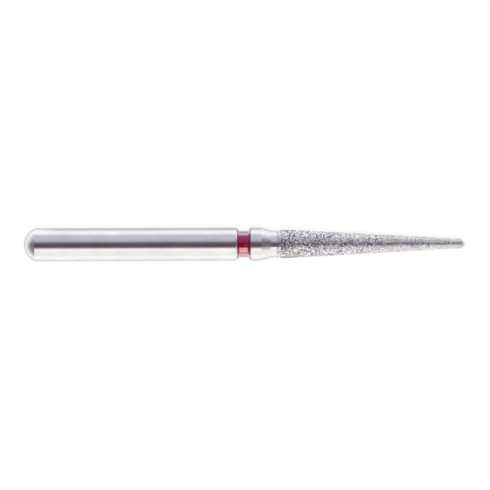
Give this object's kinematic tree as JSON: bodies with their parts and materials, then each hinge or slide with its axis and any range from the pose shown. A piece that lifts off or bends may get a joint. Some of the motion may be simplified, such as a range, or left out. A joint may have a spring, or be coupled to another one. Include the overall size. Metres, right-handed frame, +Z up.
{
  "type": "dental bur",
  "caption": "Friction-grip rotary dental bur: straight shank with domed end, red grade ring in a groove, short neck, and a tapered round-ended head coated in diamond grit.",
  "frame": {"origin": "on the bur's axis, where the straight gripped wall of the shank begins, just ahead of its domed rear end", "axes": "+X along the bur's axis, from the shank towards the head's round tip; +Z up as it lies; the bur is round about X"},
  "size_m": [0.0215, 0.0016, 0.0016],
  "materials": {
    "ground_steel": "centreless-ground stainless steel with a fine sheen round the shank",
    "red_lacquer": "glossy translucent crimson lacquer in the groove",
    "diamond_grit": "fine diamond grit held in dull grey nickel plating"
  },
  "bodies": {
    "root": {"steel_blank": "ground_steel", "colour_ring": "red_lacquer", "diamond_coating": "diamond_grit"}
  },
  "joints": []
}
